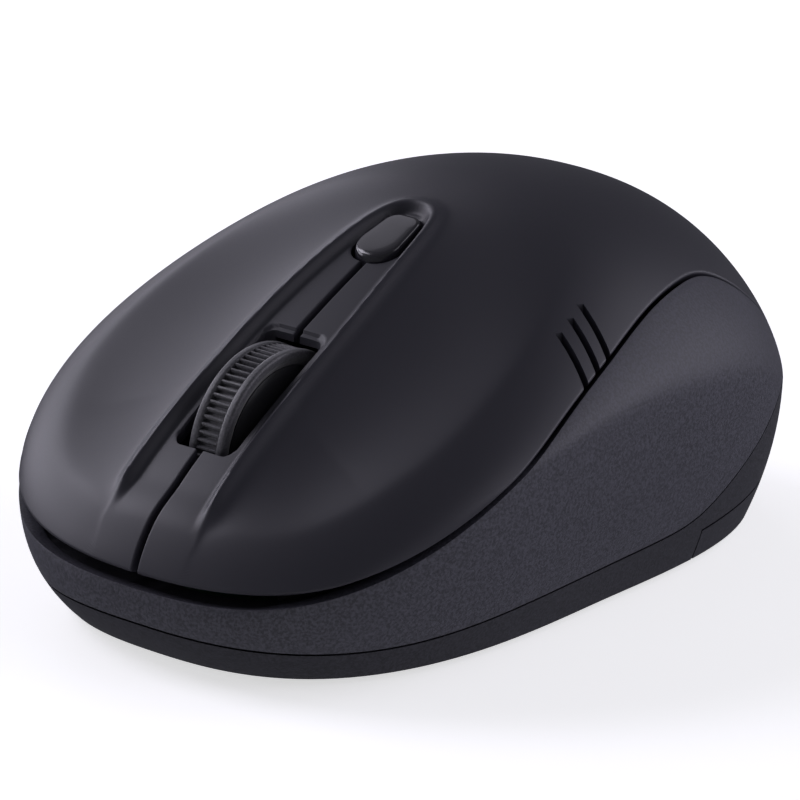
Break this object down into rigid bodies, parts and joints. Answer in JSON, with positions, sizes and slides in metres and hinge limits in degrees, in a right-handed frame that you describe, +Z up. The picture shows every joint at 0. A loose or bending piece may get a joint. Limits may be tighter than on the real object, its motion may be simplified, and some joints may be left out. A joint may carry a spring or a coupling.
{
  "type": "computer mouse",
  "caption": "Compact cordless computer mouse with arched two-button cover, ribbed scroll wheel, glossy centre button, textured side panels and sliding battery door.",
  "frame": {"origin": "on the desk plane, under the middle of the body's bounding box", "axes": "+Z up, -Y towards the nose, +X towards the left button (the user's left when the nose points away)"},
  "size_m": [0.0634, 0.092, 0.0412],
  "materials": {
    "soft_touch_cover": "smooth soft-touch coat, matte charcoal",
    "side_plastic": "finely textured matte charcoal",
    "base_plastic": "fine spark texture, near black",
    "gloss_button": "polished piano black",
    "tyre_rubber": "ribbed, satin",
    "inner_plastic": "plain moulded black",
    "fork_plastic": "natural white",
    "foot_plastic": "slippery, slight sheen",
    "board": "green solder mask",
    "chip": "moulded black",
    "lens": "clear moulded",
    "lamp": "red clear resin",
    "steel": "bright plated",
    "cell_jacket": "printed jacket without marks"
  },
  "bodies": {
    "casing": {"base_shell": "base_plastic", "battery_tray": "inner_plastic", "board_screw": "steel", "capacitor": "chip", "carrier_spring": "steel", "controller_chip": "chip", "crystal": "steel", "dpi_board": "board", "dpi_bracket": "inner_plastic", "dpi_switch": "chip", "left_cell": "cell_jacket", "left_cell_spring": "steel", "left_contact": "steel", "left_front_foot": "foot_plastic", "left_front_screw": "steel", "left_rear_screw": "steel", "left_switch": "chip", "left_tray_screw": "steel", "main_board": "board", "middle_switch": "chip", "optical_sensor": "chip", "palm_cover": "soft_touch_cover", "power_switch": "steel", "radio_chip": "chip", "rear_contact": "steel", "right_cell": "cell_jacket", "right_cell_spring": "steel", "right_contact": "steel", "right_front_foot": "foot_plastic", "right_front_screw": "steel", "right_rear_screw": "steel", "right_switch": "chip", "right_tray_screw": "steel", "sensor_led": "lamp", "sensor_lens": "lens", "side_skirt": "side_plastic", "wheel_ir_detector": "chip", "wheel_ir_emitter": "chip"},
    "left_button": {"left_button": "soft_touch_cover"},
    "right_button": {"right_button": "soft_touch_cover"},
    "left_plunger": {"left_switch_plunger": "fork_plastic"},
    "right_plunger": {"right_switch_plunger": "fork_plastic"},
    "fork": {"wheel_carrier": "fork_plastic"},
    "wheel": {"wheel_hub": "inner_plastic", "wheel_tyre": "tyre_rubber", "wheel_axle": "steel"},
    "middle_plunger": {"middle_switch_plunger": "fork_plastic"},
    "centre_button": {"dpi_button": "gloss_button"},
    "centre_plunger": {"dpi_switch_plunger": "fork_plastic"},
    "door": {"battery_door": "base_plastic", "rear_foot": "foot_plastic"},
    "power_knob": {"power_switch_knob": "fork_plastic"}
  },
  "joints": [
    {"name": "left_click", "type": "hinge", "parent": "casing", "child": "left_button", "pos_m": [0, 0.00315, 0.036], "axis": [1, 0, 0], "range_deg": [0, 0.7], "stiffness_Nm_per_rad": 1.6},
    {"name": "right_click", "type": "hinge", "parent": "casing", "child": "right_button", "pos_m": [0, 0.00315, 0.036], "axis": [1, 0, 0], "range_deg": [0, 0.7], "stiffness_Nm_per_rad": 1.6},
    {"name": "left_switch_press", "type": "slide", "parent": "casing", "child": "left_plunger", "axis": [0, 0, -1], "range_m": [0, 0.00045]},
    {"name": "right_switch_press", "type": "slide", "parent": "casing", "child": "right_plunger", "axis": [0, 0, -1], "range_m": [0, 0.00045]},
    {"name": "wheel_press", "type": "hinge", "parent": "casing", "child": "fork", "pos_m": [0, -0.011, 0.012], "axis": [1, 0, 0], "range_deg": [0, 2], "stiffness_Nm_per_rad": 1, "deforming": ["carrier_spring"]},
    {"name": "wheel_spin", "type": "hinge", "parent": "fork", "child": "wheel", "pos_m": [0, -0.0239, 0.01915], "axis": [1, 0, 0], "continuous": true},
    {"name": "middle_switch_press", "type": "slide", "parent": "casing", "child": "middle_plunger", "axis": [0, 0, -1], "range_m": [0, 0.0006]},
    {"name": "centre_press", "type": "slide", "parent": "casing", "child": "centre_button", "axis": [0, 0.2924, -0.9563], "range_m": [0, 0.0005], "stiffness_N_per_m": 500},
    {"name": "centre_switch_press", "type": "slide", "parent": "casing", "child": "centre_plunger", "axis": [0, 0.2924, -0.9563], "range_m": [0, 0.0005]},
    {"name": "door_slide", "type": "slide", "parent": "casing", "child": "door", "axis": [0, 1, 0], "range_m": [0, 0.032]},
    {"name": "power_slide", "type": "slide", "parent": "casing", "child": "power_knob", "axis": [1, 0, 0], "range_m": [0, 0.0025]}
  ],
  "couplings": [
    {"joint": "left_switch_press", "follows": "left_click", "m_per_rad": 0.0359},
    {"joint": "right_switch_press", "follows": "right_click", "m_per_rad": 0.0359},
    {"joint": "middle_switch_press", "follows": "wheel_press", "m_per_rad": 0.0149},
    {"joint": "centre_switch_press", "follows": "centre_press", "ratio": 1}
  ]
}
